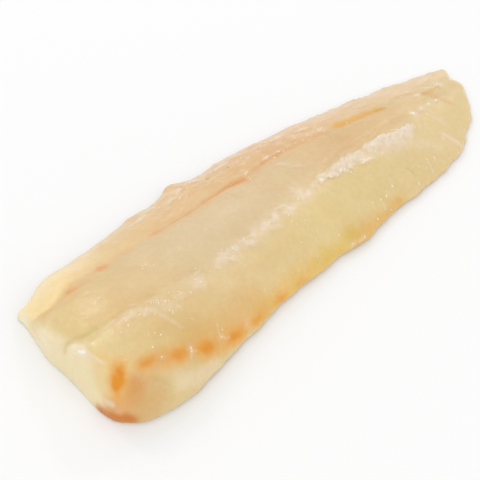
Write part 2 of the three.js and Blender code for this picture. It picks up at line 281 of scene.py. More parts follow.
# Patches of white tissue: place, half length, half width, strength, turn from the X axis in degrees.
PATCHES = [
    # along the midline
    (-113.5, -11.5, 5, 2.2, 0.5, 0), (-105.5, -15, 6, 3, 0.55, -10),
    (-100, -14, 4, 2, 0.4, 15),
    (-97.5, -19, 6, 3.4, 0.5, -20), (-89, -18, 5, 2.6, 0.45, 0), (-78, -17.5, 5.5, 4, 0.6, -10),
    (-74, -12.5, 3, 1.2, 0.5, 10), (-69.5, -13, 2.6, 1, 0.4, 35), (-61.5, -14.5, 5.5, 3, 0.7, 25),
    (-57, -17, 4, 2, 0.55, -25), (-51.5, -14, 3.6, 1.8, 0.7, 40),
    (-44, -15.5, 5, 2.4, 0.65, -20),
    (-38.5, -13.5, 3.6, 1.8, 0.7, 40), (-31.5, -13, 4.5, 2.4, 0.8, 25), (-27.5, -16.5, 4.5, 1.8, 0.55, -25),
    (-23, -12, 3.8, 1.8, 0.8, 48), (-14.5, -13.5, 4.5, 2.8, 0.7, 10), (-8.5, -12.5, 2.8, 1.2, 0.4, -30),
    (-2.5, -9, 4, 2, 0.75, 30), (1, -11.5, 4.5, 2.6, 0.8, 20), (8, -9, 3.8, 2, 0.65, 30),
    # past the end of the torn sheet, towards the tail
    (94, -6, 2.8, 1.9, 1, 40), (101, -5, 2.1, 1.6, 0.9, 20), (108, -5.5, 2, 1.4, 0.8, 10),
    (114, -5.5, 2.2, 1.3, 0.8, -10), (79, -25, 11, 5, 0.45, -40),
    # haze on the far lobe
    (-86.5, 8, 3, 1.8, 0.35, -50), (-69, 4.5, 9, 6, 0.3, -20), (-49, 4, 9, 6, 0.25, 0),
    (-34, 6.5, 8, 6, 0.3, -30), (10, 13, 5, 1.8, 0.45, -40), (13.5, 6.5, 4.5, 1.6, 0.4, -40),
    # between the orange spots
    (-116.5, -34.8, 1.7, 1, 0.35, -20), (-103, -38, 1.7, 1, 0.45, 44),
    (-87, -40, 2, 0.9, 0.4, 20), (-72, -41, 1.6, 1, 0.3, 30),
    # the near edge
    (0.5, -41.5, 3, 1.4, 0.65, 10), (6, -42.5, 3.2, 1.4, 0.65, 10),
    # the fold near the tail
    (127.5, 3, 2.6, 2.2, 1.4, 20), (119.5, 5, 4, 1.2, 0.7, -30), (109, 4, 3, 1.2, 0.8, -20),
    (109.5, 10.5, 3, 1.4, 0.6, 0), (105.5, 11, 2.4, 1.2, 0.6, 10), (126, 10.5, 3.6, 1.6, 0.5, 10),
    # the strip along the far edge
    (-62, 40, 4, 1.9, 0.9, 10), (-53, 42.5, 4, 1.6, 0.8, 10), (-44.5, 37.5, 5.5, 1.5, 0.8, 20),
    (-36, 40.5, 4.5, 1.6, 0.8, 30), (-25, 41.5, 5.5, 1.8, 0.9, -10), (-8.5, 40, 7.5, 1.5, 0.9, -8),
    (5, 32, 2.6, 1.3, 0.6, 20), (14, 37, 4.5, 1.4, 0.5, -8), (18, 34.5, 2.6, 1.3, 0.6, 0),
    (29, 35, 6, 1.7, 0.9, -12), (33, 26, 2.8, 1.3, 0.6, 0), (42.5, 28.5, 4.2, 1.5, 0.85, -15),
    (39.5, 22.5, 2.6, 1.3, 0.6, 20), (47, 20.5, 2.8, 1.6, 0.85, -5), (10, 24.5, 2.8, 1.3, 0.85, 10),
    (18, 23.5, 2.4, 1.1, 0.7, -20), (-6, 23, 1.8, 1.1, 0.6, 30), (60, 26, 4.5, 1.5, 0.5, -18),
    (82, 20.5, 6, 1.8, 0.5, -15), (100, 19, 6, 1.8, 0.4, -20),
]
# Where small wet crumbs of tissue lie, coloured bright cream so that they also stand in for wet glints: line
# in plan, spread, count.
CRUMBS = [
    ([(-100, -12), (-98.5, -14), (-95.5, -16.5)], 0.7, 9),
    (
        [(-125, -10), (-100, -16), (-75, -14.5), (-45, -14), (-20, -12.5), (5, -9)],
        1.6, 30,
    ),
    ([(-119, -17), (-95, -22)], 5, 8),
    ([(-88, 9), (-85, 6)], 2, 5),
    ([(-119, 9), (-116, 5.5), (-119, 4.5)], 0.6, 4),
    ([(-40, 22.5), (-10, 20.5), (20, 22.5), (48, 19.5)], 1.6, 24),
    ([(-64, 37), (-10, 37.5), (45, 29)], 3.2, 30),
    ([(60, 24), (100, 16)], 3, 6),
    ([(97, -5), (113, 0), (126, 3)], 2.4, 9),
    ([(12, -31), (40, -34), (75, -34)], 2.6, 12),
    ([(-25, -22), (-13, -24)], 4, 7),
    ([(18, -11), (30, -14), (42, -15), (54, -17)], 0.9, 14),
    ([(60, -7), (72, -8), (84, -10)], 0.8, 9),
]
# Where threads of tissue lie: line in plan, spread, count.
THREADS = [
    ([(-64, -14), (-44, -14), (-20, -12.5), (5, -9.5)], 1.5, 9),
    ([(-112, -12), (-98, -16)], 2, 3),
]
# Single lumps of tissue, also standing in for wet glints: place in plan, size.
LUMPS = [
    ((93.5, -5.5), 1.1), ((95.5, -6.8), 0.7), ((101.5, -4.5), 1), ((108, -5), 0.9),
    ((115, -5), 0.8), ((110, 11), 0.8), ((106, 11.5), 0.7), ((47, 21), 0.9),
    ((-116.5, -34.8), 0.6), ((-103, -38), 0.6), ((-103.8, -39.2), 0.35), ((-87, -40), 0.5),
    ((-84.5, -38), 0.35), ((-117, -30), 0.5), ((-98.5, -22.5), 0.4), ((-88.5, -15.5), 0.4),
    ((-73.5, -10.5), 0.4), ((-52, 4.5), 0.35), ((-3, -35), 0.35), ((-19.5, -36.5), 0.35),
    ((56.5, -38), 0.5), ((42, -32), 0.5), ((71, -31.5), 0.4), ((75.5, -33), 0.5),
]
# The torn white sheet along the midline towards the tail. Its strands lean at SEPTA_TURN. Each pair gives a
# place across the strands and how far the sheet's steep upper edge or its ragged lower edge lies along them,
# or how much of the sheet is gone at its lower edge.
SHEET_TOP = [
    (12, 3), (16, 7.5), (20, 11.5), (25, 17.5), (29, 23), (35.5, 27), (39.5, 33),
    (44.5, 36), (48.5, 42), (54, 43.5), (65, 53), (69, 55),
]
SHEET_LOW = [
    (12, 0), (16, 1), (20, 4), (26.5, 9.5), (30.5, 11.5), (34.5, 16.5), (40.5, 18.5),
    (43.5, 22), (49.5, 22), (57, 25), (64, 28), (67, 38), (69, 50),
]
SHEET_THINS = [(14, 0.1), (38, 0.15), (48, 0.7), (69, 0.9)]
SHEET_ACROSS = (11, 69.5)
SHEET_ENDS = (4, 4.5)  # stretches across the strands over which the sheet sets in and fades out
# Before the first of these places across the strands the sheet is a crumpled heap, past the second a veil.
SHEET_CRUMPLED = (40, 48)
# How far lumps, ragged noise and strands move the sheet's edges along the strands, in millimetres.
SHEET_TOP_WEAR = {"lumps": 1.7, "ragged": 1.2}
SHEET_LOW_WEAR = {"lumps": 1.2, "ragged": 1.5, "strands": 1.2}
SHEET_SOFT = (0.6, 1.6)  # softness of the upper edge, and what the heap adds to it
SHEET_NARROWEST = 0.5
# How much of the flesh the sheet hides, and what the heap, strands and holes change in that.
SHEET_FILL = 0.82
SHEET_FILL_WEAR = {"heap": -0.14, "strands": 0.14, "torn": 0.4}
# Where the lower edge fades, on the heap in millimetres and on the veil by shares of its depth, and where
# the sheet thins out, by shares of its depth.
SHEET_FADES = {"heap": (-0.7, 0.7), "veil": (0.7, 1.25), "thins": (0.05, 0.95)}
# Bright lumps on the sheet, white tissue painted brighter as wet highlights: distance from its edge and half
# width, and over which noise they show.
SHEET_RIMS = {"heap": (1.2, 1.3), "veil": (1, 1.6)}
SPECKS_SHOW = {"heap": (-0.2, 0.4), "veil": (-0.4, 0.5), "dots": (0.2, 0.7)}
SHRED_SEED = 5
SHEET_SHREDS = 26
SCATTER_STEP = 1.2  # between the places on a line where crumbs and threads can lie
# Crumbs: size in millimetres and how far they are stretched, from and to.
CRUMB = {"size": (0.2, 0.44), "patch": (0.2, 0.45), "stretch": (1, 2.2), "lump_stretch": (1, 1.5)}
# Threads: half length and half width in millimetres, from and to.
THREAD = {"length": (0.8, 1.8), "width": (0.14, 0.22), "sheet_length": (0.8, 2), "sheet_width": (0.1, 0.16)}
# How far shreds turn off the way that they lean, and the way that threads off the sheet lean, in radians.
LEAN_SPREAD = {"patch": 0.5, "lump": 0.5, "sheet": 0.3, "thread": 0.6, "crumb": 0.7}
THREAD_LEAN = 0.45
PATCH_SPREAD = 0.4  # of the crumbs on a patch, against its half length and half width
PATCH_WIDTH_MOST = 1.5  # wider patches have no more crumbs
SHEET_SPREAD = 0.3  # of the threads from the sheet's edge, as a share of its depth
HAZE_SPREAD = 1.8  # reach of the haze round a patch, against the patch
HAZE_OFF_STRIP = 0.7  # how much of the haze is gone on the strip
HALO_SPREAD = 1.9  # reach of the halo round an orange spot, against the spot
TINT_SPREAD = 2  # reach of the warm tint round a mark in the groove, against the mark
SHADE_OFFSET = (1.3, 1.2)  # from the painted shadow beside a white patch to that patch
DASH_LEAST = 0.35  # strength of the pale dashes at the midline, against the edge
DASH_OFF_CUT = 0.5  # how much of the dashes is gone on the cut end
DARK_SPECKS = [(-20, 36), (-7, 34.5), (-15, 41), (-32, 42.5)]
SPECK_HALF = 0.5
# The crease between the lobes over the cut end and on the upper face, and the fold near the tail, in space.
CREASE = [
    (-126, -7.5, 23.3), (-132, -6.5, 22), (-135.5, -3, 20), (-138, 0.2, 15.5),
    (-139.5, 0.2, 11.5), (-141, -0.8, 7), (-142.5, -0.5, 2),
]
CREASE_TOP = [
    (-113.5, -9.5, 24), (-118, -9.2, 23.8), (-123, -8.8, 23.6), (-127.5, -7.4, 23.2),
    (-131.5, -6.7, 22.4), (-134.5, -5, 21.3), (-136.5, -2, 18.8),
]
FOLD_VALLEY = [
    (97, 10, 7.2), (105, 8.5, 6.2), (109.5, 2.5, 8.4), (115, -2.5, 7), (118, -14.5, 6.2),
]
FOLD_RIDGE = [
    (106, 9.5, 6.3), (109, 2.5, 8.6), (113, 1.5, 8), (120, 0, 6.7), (125, 0.5, 5.8),
]
SPOT_BAND = [(-126, -35.5, 22), (-111.5, -40, 19.5), (-97, -42.5, 13.5), (-78, -43.5, 7.5)]
# Tinted zones, some of them painted highlights and shade: mask, line that the zone follows, half width.
ZONES = [
    ("olive", [(-17, -39), (5, -39)], 4.5),
    ("tan", [(-97, -37), (-82, -38), (-62, -37)], 8),
    ("rim_yellow", [(-62, -42), (-30, -40.5), (2, -43)], 6.5),
    ("rim", [(4, -43), (20, -43.5), (38, -42.5)], 6.5),
    ("spot_band", SPOT_BAND, 4.5),
    ("end_yellow", [(-139, -24, 21), (-140.5, -28, 15)], 8),
    ("corner", [(-133.5, -37.5, 18.5), (-137.5, -38.5, 13), (-141, -33, 8)], 5.5),
    ("oval", [(-128, -40.5, 17), (-131, -44, 9), (-136, -42.5, 6)], 8),
    ("rust", [(-145, -28, 0.5), (-143.5, -34, 2.5), (-140, -40, 3.5)], 4),
    # Painted shade: the crease between the lobes darkened to olive, where shade falls in the furrow.
    ("crease_shade", CREASE_TOP[3:] + CREASE[3:5], 1.5),
    # Painted highlight on the rounded crest of the near lobe at the cut end.
    ("painted_end_highlight", [(-138, -6.5, 18), (-137.6, -11, 21)], 3.2),
    ("far_light", [(-142, 10, 5), (-140.5, 14, 8.5), (-139.5, 5, 12)], 6),
    ("wall_light", [(-115, -46, 11.5), (-107.5, -48, 8), (-97, -47, 6)], 4.5),
    # Painted shade in the valley of the fold near the tail.
    ("painted_fold_shade", FOLD_VALLEY, 2.4),
    ("streak", [(56, 16.5), (69, 13.5), (83, 9.8)], 3.3),
    ("streak_end", [(81, 10), (86, 8.5)], 1.3),
    ("pale_end", [(-142.5, -33, 9), (-143.2, -30, 8.5)], 1.8),
    # Painted glint: a white highlight on the wet lip of the near lobe at the cut end.
    ("painted_lip_glint", [(-138.7, -8.5, 18.8), (-138.2, -12.5, 21.5)], 0.9),
]
UPPER_ZONES = ("tan", "olive")  # those that end where the upper face does
# Fine ridges and furrows: line in space, half width, height.
RIDGES = [
    (FOLD_RIDGE, 1.3, 1),
    ([(118.5, 6.5, 5), (122.5, 8, 4.6), (129, 9, 4)], 2.2, 1),
    ([(124, 0.5, 6.2), (127, 1, 5.2)], 2.2, 1.2),
    (FOLD_VALLEY, 1.5, -0.5),
    ([(99, -10, 8.6), (98.5, -13.5, 9), (100.5, -20, 8), (99.5, -24, 7)], 1.5, 0.5),
    ([(92.5, -27, 7.7), (94, -31, 6.6), (96, -37.5, 3.7)], 1.2, 0.6),
    ([(-126, -40.5, 17.5), (-121, -45.5, 12.5), (-121, -47, 10), (-123.5, -48.5, 6.5)], 0.9, -0.5),
    ([(-123.5, -48.5, 6.5), (-130, -47.5, 4), (-131.5, -47, 2)], 0.9, -0.5),
    ([(-131, -44, 11), (-128, -46, 8)], 6, 0.6),
    (CREASE, 2, -0.5),
    (CREASE_TOP, 0.9, -0.25),
    ([(-138.5, -7, 17.5), (-138, -12.5, 21.5), (-138, -19, 23.5), (-138, -24.5, 23.5)], 1, 0.3),
]
# Bumps and nicks of the thin edge: place in plan, reach, push.
NICKS = [
    ((146.5, 0.3), 5.2, (-5.2, 0.2)),
    ((141, -8.5), 3, (0.4, 0.3)),
    ((-132.5, 41), 3, (0.4, -1.8)),
    ((-138, 37.5), 2.5, (-1, 1.2)),
    ((122, -26), 8, (1.1, -0.7)),
    ((105, 23.5), 8, (0.3, 1.2)),
    ((-65, 48), 3.5, (0, 2)),
    ((-33, 50), 4.5, (0, 1.4)),
]

COLOURS = {  # sRGB
    "pale": (233, 213, 174),
    # The facet: pale flesh, painted lighter still as a highlight where it faces the light from behind.
    "facet": (253, 227, 170),
    "cut": (242, 225, 183),
    # Painted highlight on the crest at the cut end.
    "painted_end_highlight": (252, 242, 214),
    "far_light": (243, 230, 196),
    "end_yellow": (236, 204, 132),
    "wall": (225, 203, 149),
    "wall_light": (237, 220, 186),
    "olive": (219, 192, 84),
    "tan": (225, 181, 106),
    "rim_yellow": (231, 191, 88),
    "rim": (226, 175, 70),
    "corner": (224, 162, 90),
    "oval": (219, 178, 114),
    # Painted shade in the crease between the lobes.
    "crease_shade": (219, 196, 124),
    "spot_band": (230, 178, 100),
    "halo": (236, 178, 80),
    "orange": (228, 148, 0),
    "rust": (208, 122, 20),
    "peach": (231, 180, 114),
    "groove": (229, 158, 82),
    "streak": (231, 179, 67),
    "streak_end": (196, 150, 66),
    # Painted shade in the valley of the fold.
    "painted_fold_shade": (219, 176, 118),
    "membrane": (235, 217, 194),
    # Painted glint on the lip at the cut end.
    "painted_lip_glint": (255, 248, 230),
    "sheet": (232, 215, 195),
    "mottle_light": (243, 214, 180),
    "mottle_dark": (226, 176, 126),
    # Bright lumps on the sheet: white tissue with painted highlights.
    "shred": (248, 233, 212),
    # Crumbs of tissue, in a bright cream that also stands in for wet glints.
    "crumb": (245, 212, 166),
    "crumb_light": (252, 232, 202),
    "haze": (232, 212, 186),
    "tip": (248, 240, 210),
    "dark": (120, 88, 50),
    "skinned": (224, 212, 194),
    "lateral": (204, 172, 142),
    "seam": (242, 234, 220),
}
# Base colour along the fillet, from the cut end to the tail: x in millimetres and sRGB.
BANDS = {
    "far": [
        (-137, (232, 209, 152)), (-115, (225, 195, 138)), (-60, (223, 200, 159)), (0, (224, 198, 154)),
        (45, (223, 187, 135)), (125, (226, 200, 147)),
    ],
    "near": [
        (-139, (232, 212, 158)), (-105, (223, 193, 132)), (-70, (229, 205, 154)), (0, (230, 208, 152)),
        (60, (228, 205, 152)),
    ],
    "strip": [
        (-140, (240, 212, 159)), (-60, (229, 195, 140)), (20, (228, 188, 138)), (80, (231, 202, 160)),
        (140, (236, 210, 172)),
    ],
}


def linear(colour):
    """A named or given sRGB colour as linear RGBA."""
    parts = [c / 255 for c in (COLOURS[colour] if isinstance(colour, str) else colour)]
    return (*[c / 12.92 if c <= 0.04045 else ((c + 0.055) / 1.055) ** 2.4 for c in parts], 1)


def smooth(value, low, high):
    """0 up to low and 1 from high on, with an eased rise between them."""
    t = np.clip((value - low) / (high - low), 0, 1)
    return t * t * (3 - 2 * t)


def past(x, name):
    """0 before a named stretch along X and 1 past it."""
    return smooth(x, *SPANS[name])


def before(x, name):
    return 1 - past(x, name)


def bell(distance, half):
    """1 at no distance, and about a third at the half width."""
    return np.exp(-((distance / half) ** 2))


class Noise:
    """Seeded gradient noise in space, about -1 to 1, with waves of a given size."""

    def __init__(self, seed, size):
        rng = np.random.default_rng(seed)
        self.order = rng.permutation(256)
        slopes = rng.normal(size=(256, 3))
        self.slopes = slopes / np.linalg.norm(slopes, axis=1, keepdims=True)
        self.size = np.array(size)

    def __call__(self, points):
        points = points / self.size
        cell = np.floor(points).astype(int)
        inside = points - cell
        ease = inside**3 * (inside * (6 * inside - 15) + 10)
        total = np.zeros(len(points))
        for corner in np.ndindex(2, 2, 2):
            c = (cell + corner) & 255
            h = self.order[(self.order[(self.order[c[:, 0]] + c[:, 1]) & 255] + c[:, 2]) & 255]
            dot = ((inside - corner) * self.slopes[h]).sum(1)
            total += dot * np.prod(np.where(corner, ease, 1 - ease), axis=1)
        return 1.6 * total


NOISE = {name: Noise(*given) for name, given in WAVES.items()}


def line_distance(points, line):
    """Distance of each point from a polyline, and how far along the line it lies, from 0 to 1."""
    line = np.array(line, float)
    steps = np.linalg.norm(np.diff(line, axis=0), axis=1)
    starts = np.concatenate([[0], np.cumsum(steps)])
    best = np.full(len(points), np.inf)
    along = np.zeros(len(points))
    for a, b, length, start in zip(line[:-1], line[1:], steps, starts):
        t = np.clip(((points - a) @ (b - a)) / length**2, 0, 1)
        d = np.linalg.norm(points - a - t[:, None] * (b - a), axis=1)
        near = d < best
        best[near] = d[near]
        along[near] = (start + t[near] * length) / starts[-1]
    return best, along


def ends(along, outside, inside):
    """1 along a line, fading near both its ends, by shares of its length."""
    return smooth(along, -outside, inside) * (1 - smooth(along, 1 - inside, 1 + outside))


def turned(x, y, angle):
    """Distances along and across a direction in plan."""
    return x * math.cos(angle) + y * math.sin(angle), y * math.cos(angle) - x * math.sin(angle)


def dense_copy(node):
    """A new object with the node's mesh, its triangles paired into quads and subdivided."""
    mesh = bpy.data.meshes.new("rough_flesh")
    bm = bmesh.new()
    bm.from_mesh(node.data)
    bmesh.ops.remove_doubles(bm, verts=bm.verts, dist=1e-6)
    bmesh.ops.join_triangles(
        bm, faces=bm.faces, angle_face_threshold=math.pi, angle_shape_threshold=math.pi
    )
    bm.to_mesh(mesh)
    bm.free()
    rough = bpy.data.objects.new("rough_flesh", mesh)
    bpy.context.scene.collection.objects.link(rough)
    modifier = rough.modifiers.new("dense", "SUBSURF")
    modifier.levels = modifier.render_levels = SUBDIVISIONS
    depsgraph = bpy.context.evaluated_depsgraph_get()
    dense = bpy.data.meshes.new_from_object(rough.evaluated_get(depsgraph))
    bpy.data.objects.remove(rough)
    dense.name = "fillet_flesh"
    dense.materials.clear()
    piece = bpy.data.objects.new("fillet_flesh", dense)
    bpy.context.scene.collection.objects.link(piece)
    return piece


def read_points(mesh):
    """The mesh's points in millimetres."""
    flat = np.empty(3 * len(mesh.vertices), np.float32)
    mesh.vertices.foreach_get("co", flat)
    return flat.reshape(-1, 3).astype(float) / MM


def read_normals(mesh):
    flat = np.empty(3 * len(mesh.vertices), np.float32)
    mesh.vertex_normals.foreach_get("vector", flat)
    return flat.reshape(-1, 3).astype(float)


def write_points(mesh, points):
    mesh.vertices.foreach_set("co", (points * MM).astype(np.float32).ravel())
    mesh.update()


def relaxed(mesh, values, weight, rounds):
    """Values evened out between neighbouring points, by weight."""
    edge_ends = np.empty(2 * len(mesh.edges), np.int32)
    mesh.edges.foreach_get("vertices", edge_ends)
    a, b = edge_ends.reshape(-1, 2).T
    size = len(values)
    count = np.bincount(a, minlength=size) + np.bincount(b, minlength=size)
    even = values.copy()
    for _ in range(rounds):
        around = np.bincount(a, even[b], size) + np.bincount(b, even[a], size)
        even += weight * (around / count - even)
    return even


def relaxed_rows(mesh, rows, weight, rounds):
    """Points or directions evened out between neighbouring points, by weight."""
    return np.stack([relaxed(mesh, column, weight, rounds) for column in rows.T], 1)


class Form:
    """The solid's outline and the lines along its upper face, at points in millimetres."""

    def __init__(self, points):
        x, y = (points[:, :2] + SHIFT).T
        bins = np.arange(CUT_X + EDGE_BIN, TAIL_X, EDGE_BIN)
        slot = np.clip(np.round((x - bins[0]) / EDGE_BIN).astype(int), 0, len(bins) - 1)
        far = np.full(len(bins), y.min())
        near = np.full(len(bins), y.max())
        np.maximum.at(far, slot, y)
        np.minimum.at(near, slot, y)
        far = np.interp(x, bins, far)
        near = np.interp(x, bins, near)
        margin = MIDLINE["margin"] * (far - near)
        bowed = MIDLINE["y"] - MIDLINE["bow"] * bell(x - MIDLINE["at"], MIDLINE["half"])
        mid = np.clip(bowed, near + margin, far - margin)
        tailward = smooth(x, GROOVE["from"], GROOVE["to"])
        share = GROOVE["share"] + (GROOVE["tail"] - GROOVE["share"]) * tailward
        groove = np.maximum(share * far, mid + (far - mid) * share / 2)
        self.past_mid = y - mid
        self.past_groove = y - groove
        self.share = np.clip((y - mid) / (np.where(y > mid, far, near) - mid), 0, 1)


def push_edges(points, form):
    """Bumps and nicks of the thin edges, in plan."""
    rim = np.maximum(smooth(form.share, *SHARES["nicks"]), past(points[:, 0], "tail_rim"))
    for place, reach, push in NICKS:
        near = bell(np.linalg.norm(points[:, :2] - np.array(place), axis=1), reach)
        points[:, :2] += (rim * near)[:, None] * np.array(push)
    return points


def ease(mesh, points, form):
    """Evens out the solid's facets on the upper face and at the cut end, and shapes the thin edges."""
    normals = read_normals(mesh)
    x, z = points[:, 0], points[:, 2]
    body = past(x, "body") * before(x, "body_end")
    calm = smooth(normals[:, 2], *FACING["calm"]) * body
    calm *= 1 - smooth(form.share, *SHARES["calm_end"])
    points[:, 2] = relaxed(mesh, z, calm, CALM_ROUNDS)
    raised = EASE_MOST * smooth(z, *EASE_HEIGHTS)
    points = relaxed_rows(mesh, points, raised * before(x, "blunt_end"), END_ROUNDS)
    crease_off, _ = line_distance(points, CREASE)
    points = relaxed_rows(mesh, points, raised * bell(crease_off, CREASE_EASE), CREASE_ROUNDS)
    points = push_edges(points, form)
    write_points(mesh, points)
    return points, body, calm


class Surface:
    """The points of the flesh, in millimetres, and where they lie against the lines of the fillet."""

    def __init__(self, mesh):
        form = Form(read_points(mesh))
        self.share = form.share
        self.solid_groove = form.past_groove
        self.points, self.body, self.calm = ease(mesh, read_points(mesh), form)
        self.plan = self.points[:, :2] - PLAN_ORIGIN
        self.normals = read_normals(mesh)
        self.even = relaxed_rows(mesh, self.normals, 1, MASK_ROUNDS)
        self.upper = smooth(self.normals[:, 2], *FACING["upper"])
        self.under = smooth(-self.normals[:, 2], *FACING["under"])
        self.wobble = NOISE["wobble"](self.points)
        self.wobble_wide = NOISE["wobble_wide"](self.points)
        self.wander = NOISE["wander"](self.points)
        self.past_mid = form.past_mid + MID_WANDER * self.wander
        self.past_groove = form.past_groove + GROOVE_WANDER[0] * self.wander
        self.past_groove += GROOVE_WANDER[1] * self.wobble_wide
        # Painted shade along the furrows and beside white tissue.
        self.seams = self.strokes(SHADE_LINES, self.wobble)
        x, y, _ = self.points.T
        far = turned(x, y, -SEPTA_TURN)
        near = turned(x, y, SEPTA_TURN)
        self.along, self.across = np.where(form.past_mid > 0, far, near)
        self.along_near, self.across_near = near

    def line_off(self, line):
        """Distance from a line drawn in plan or in space, and how far along it each point lies."""
        return line_distance(self.plan if len(line[0]) == 2 else self.points, line)

    def strokes(self, lines, noise, spread=1):
        """Highest of several soft strokes, each thinning out towards its ends."""
        mask = np.zeros(len(self.points))
        for line, half, strength in lines:
            off, along = self.line_off(line)
            worn = off * (1 + RAGGED["stroke"] * noise)
            mask = np.maximum(mask, strength * ends(along, *STROKE_ENDS) * bell(worn, half * spread))
        return mask

    def spots(self, noise, spread=1):
        """Highest of the orange spots."""
        mask = np.zeros(len(self.points))
        for centre, axis, length, width, strength in SPOTS:
            axis = np.array(axis) / np.linalg.norm(axis)
            off = self.points - np.array(centre)
            along = off @ axis
            across = np.linalg.norm(off - along[:, None] * axis, axis=1)
            worn = np.hypot(along / length, across / width) / spread + RAGGED["spot"] * noise
            mask = np.maximum(mask, strength * bell(np.maximum(worn, 0), 1))
        return mask


def patch_mask(plan, noise, spread=1):
    """Highest of the white patches."""
    mask = np.zeros(len(plan))
    for x, y, length, width, strength, turn in PATCHES:
        along, across = turned(plan[:, 0] - x, plan[:, 1] - y, math.radians(turn))
        worn = np.hypot(along / length, across / width) / spread + RAGGED["patch"] * noise
        mask = np.maximum(mask, strength * bell(np.maximum(worn, 0), 1))
    return mask


def sheet_masks(s):
    """The torn sheet, first a heap and then a streaky veil, and the bright lumps on both, painted brighter
    as wet highlights.
    """
    along, across = turned(*s.plan.T, SEPTA_TURN)
    place = -across
    level = np.zeros(len(place))
    heap = 1 - smooth(place, *SHEET_CRUMPLED)
    veil = 1 - heap
    lumps = NOISE["lumps"](np.stack([place, level, level], 1))
    strands = NOISE["strands"](np.stack([place, along, level], 1))
    ragged = NOISE["ragged"](s.points)
    specks = NOISE["specks"](s.points)

    top = np.interp(place, *np.array(SHEET_TOP).T)
    top += SHEET_TOP_WEAR["lumps"] * lumps + SHEET_TOP_WEAR["ragged"] * ragged
    low = np.interp(place, *np.array(SHEET_LOW).T) + SHEET_LOW_WEAR["lumps"] * lumps
    low += veil * SHEET_LOW_WEAR["strands"] * strands + heap * SHEET_LOW_WEAR["ragged"] * ragged
    depth = np.clip((top - along) / np.maximum(top - low, SHEET_NARROWEST), 0, 2)

    first, last = SHEET_ACROSS
    inside = smooth(place, first, first + SHEET_ENDS[0]) * (1 - smooth(place, last - SHEET_ENDS[1], last))
    soft = SHEET_SOFT[0] + SHEET_SOFT[1] * heap
    inside *= smooth(top - along, -soft, soft)
    thins = np.interp(place, *np.array(SHEET_THINS).T)
    sheet = heap * smooth(along - low, *SHEET_FADES["heap"])
    sheet += veil * (1 - smooth(depth, *SHEET_FADES["veil"]))
    sheet *= 1 - thins * smooth(depth, *SHEET_FADES["thins"])
    fill = SHEET_FILL + SHEET_FILL_WEAR["heap"] * heap + SHEET_FILL_WEAR["strands"] * veil * strands
    fill += SHEET_FILL_WEAR["torn"] * NOISE["torn"](s.points)
    sheet = np.clip(inside * sheet * fill, 0, 1)

    offset, half = SHEET_RIMS["heap"]
    rim = heap * bell(along - low - offset, half) * smooth(specks, *SPECKS_SHOW["heap"])
    offset, half = SHEET_RIMS["veil"]
    rim += veil * bell(top - along - offset, half) * smooth(specks, *SPECKS_SHOW["veil"])
    dots = sheet * (1 - thins) * smooth(specks, *SPECKS_SHOW["dots"])
    return sheet, np.maximum(inside * rim, dots)


def region_masks(s):
    """The faces and lobes of the fillet."""
    x = s.points[:, 0]
    strip = s.upper * smooth(s.past_groove, *EDGES["strip"]) * past(x, "strip")
    past_end = s.plan[:, 0] - np.interp(s.plan[:, 1], *np.array(END_EDGE).T)
    cut = smooth(-s.even[:, 0], *FACING["cut"]) * before(x, "cut_end")
    past_facet = s.plan[:, 1] - np.interp(s.plan[:, 0], *np.array(FACET_EDGE).T)
    soft = FACET_SOFT * past(x, "facet_soft")
    low, high = EDGES["facet"]
    return {
        "under": s.under,
        "lateral": s.under * bell(s.past_mid, LATERAL_HALF),
        "near": s.upper * (1 - smooth(s.past_mid, *EDGES["near"])),
        "strip": strip,
        "rough": strip * past(x, "rough") * before(x, "rough_end"),
        "cut": cut * (1 - smooth(past_end, *EDGES["cut"])),
        "wall": smooth(-s.even[:, 1], *FACING["wall"]) * before(x, "wall_end"),
        # The facet: pale flesh, painted lighter still as a highlight where it faces the light from behind.
        "facet": s.upper * smooth(past_facet, low - soft, high + soft) * before(x, "facet_end"),
        "tip": bell(np.linalg.norm(s.points - np.array(TIP), axis=1), TIP_HALF),
    }


def mark_masks(s):
    """The spots, lines, patches and torn sheet in the flesh."""
    tints = s.strokes(GROOVE_TINTS, s.wobble_wide)
    round_marks = s.strokes(GROOVE_MARKS, s.wobble_wide, TINT_SPREAD)
    patches = patch_mask(s.plan, s.wobble)
    # Painted shadow on the flesh beside each white patch.
    painted_shade = np.clip(patch_mask(s.plan + SHADE_OFFSET, s.wobble) - patches, 0, 1)
    hazy = 1 - HAZE_OFF_STRIP * smooth(s.past_groove, *EDGES["strip"])
    specks = [bell(np.linalg.norm(s.plan - np.array(place), axis=1), SPECK_HALF) for place in DARK_SPECKS]
    sheet, edge = sheet_masks(s)
    upper_masks = {
        "groove": s.strokes(GROOVE_MARKS, s.wobble),
        "peach": np.maximum(tints, round_marks),
        "sheet": sheet,
        "edge": edge,
        "patches": patches,
        "haze": hazy * patch_mask(s.plan, RAGGED["haze"] * s.wobble_wide, HAZE_SPREAD),
        "painted_shade": np.maximum(painted_shade, s.seams),
        "dark": np.max(specks, axis=0),
    }
    masks = {name: s.upper * mask for name, mask in upper_masks.items()}
    masks["orange"] = s.spots(s.wobble_wide + s.wobble)
    masks["halo"] = s.spots(s.wobble_wide + s.wobble, HALO_SPREAD)
    # White sheets, with a few painted highlights drawn as strokes.
    masks["septa_and_glints"] = (1 - s.under) * s.strokes(SEPTA_AND_GLINTS, s.wobble)
    return masks


def zone_masks(s):
    """The tinted zones."""
    masks = {}
    for name, line, half in ZONES:
        off, _ = s.line_off(line)
        masks[name] = (1 - s.under) * bell(off + RAGGED["zone"] * half * s.wobble_wide, half)
    for name in UPPER_ZONES:
        masks[name] *= s.upper
    return masks


def dash_mask(s, masks):
    """Where pale dashes show in the flesh, most of all towards the edges."""
    rising = DASH_LEAST + (1 - DASH_LEAST) * smooth(s.share, *SHARES["dashes"])
    dashes = s.upper * rising * (1 - DASH_OFF_CUT * masks["cut"])
    return dashes * (1 - np.minimum(masks["halo"], 1))


